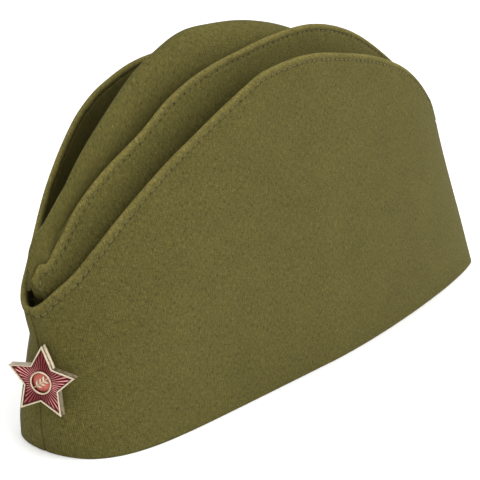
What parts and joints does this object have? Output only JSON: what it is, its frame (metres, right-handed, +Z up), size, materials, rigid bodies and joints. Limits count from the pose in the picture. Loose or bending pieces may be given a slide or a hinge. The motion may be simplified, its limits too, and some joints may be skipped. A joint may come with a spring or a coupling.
{
  "type": "garrison cap with a star badge",
  "caption": "Soft folding side cap of olive cotton with a turned-up flap, ridge seams, a puffed crown top and an enamelled gilt star on the front fold.",
  "frame": {"origin": "middle of the whole cap's box, on the surface that the rim stands on", "axes": "+Z up; the cap's front and its star face -Y; +X is the wearer's left"},
  "size_m": [0.0588, 0.2729, 0.1388],
  "materials": {
    "cloth": "olive-green plain-woven cotton, matt, with fine slubs",
    "gilt": "pale gilt, satin",
    "red_enamel": "translucent dark red enamel over fine rays, glossy",
    "coral_enamel": "coral enamel, glossy",
    "steel": "plain steel post and nut"
  },
  "bodies": {
    "root": {"flap_left": "cloth", "flap_right": "cloth", "crown_side_left": "cloth", "crown_side_right": "cloth", "crown_top": "cloth", "star_body": "gilt", "star_enamel": "red_enamel", "star_disc": "coral_enamel", "badge_pin": "steel"}
  },
  "joints": []
}
